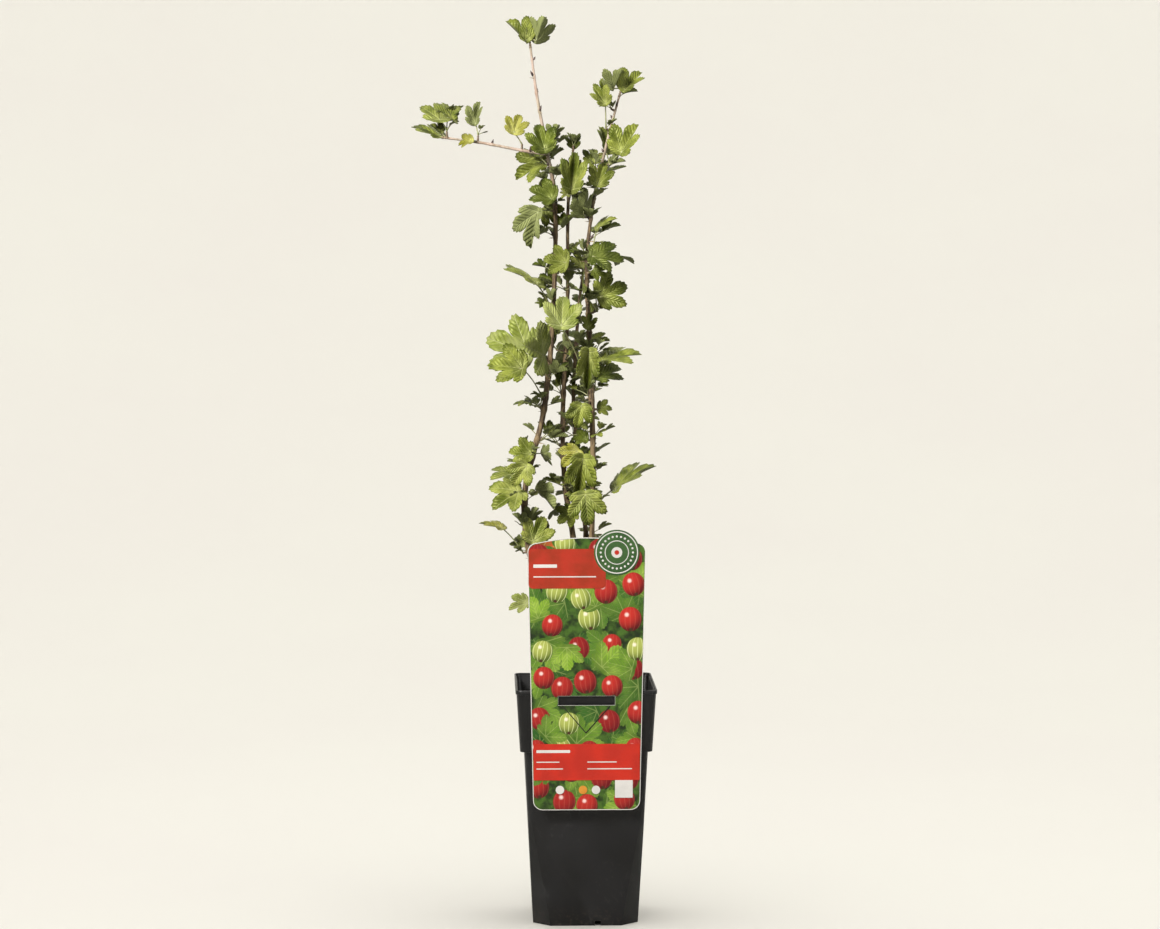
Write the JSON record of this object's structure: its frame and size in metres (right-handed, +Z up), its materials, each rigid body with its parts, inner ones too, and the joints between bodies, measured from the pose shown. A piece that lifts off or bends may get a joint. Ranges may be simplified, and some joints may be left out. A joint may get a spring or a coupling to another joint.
{
  "type": "potted gooseberry bush",
  "caption": "Young gooseberry bush with upright stems and small lobed leaves, growing in a tall square black pot with a plain picture card hooked on its rim.",
  "frame": {"origin": "centre of the pot's flat underside", "axes": "+Z up along the stems; -Y towards the face with the picture card; +X to that face's right"},
  "size_m": [0.2085, 0.1214, 0.7746],
  "materials": {
    "pot": "satin",
    "soil": "matte",
    "card": "satin",
    "bark": "matte",
    "young_wood": "matte",
    "leaf": "satin"
  },
  "bodies": {
    "root": {"pot": "pot", "soil": "soil", "card": "card", "stem_left": "bark", "stem_middle": "bark", "stem_back": "bark", "stem_right": "bark", "shoot_left": "young_wood", "tuft_top": "leaf", "shoot_end": "leaf", "shoot_fan": "leaf", "shoot_middle": "leaf", "shoot_curl": "leaf", "shoot_root": "leaf", "tuft_right": "leaf", "right_1": "leaf", "right_2": "leaf", "right_3": "leaf", "right_4": "leaf", "right_5": "leaf", "left_1": "leaf", "left_2": "leaf", "left_3": "leaf", "left_4": "leaf", "left_5": "leaf", "middle_1": "leaf", "tuft_middle": "leaf", "right_6": "leaf", "right_7": "leaf", "middle_2": "leaf", "left_6": "leaf", "right_8": "leaf", "right_9": "leaf", "right_10": "leaf", "front_1": "leaf", "left_7": "leaf", "left_8": "leaf", "left_9": "leaf", "right_11": "leaf", "right_12": "leaf", "right_13": "leaf", "middle_3": "leaf", "middle_4": "leaf", "right_14": "leaf", "right_15": "leaf", "low_1": "leaf", "low_2": "leaf", "low_3": "leaf", "low_4": "leaf", "low_5": "leaf", "low_6": "leaf", "low_7": "leaf", "low_8": "leaf", "low_9": "leaf", "low_10": "leaf", "low_11": "leaf", "low_12": "leaf", "low_13": "leaf", "low_14": "leaf"}
  },
  "joints": []
}
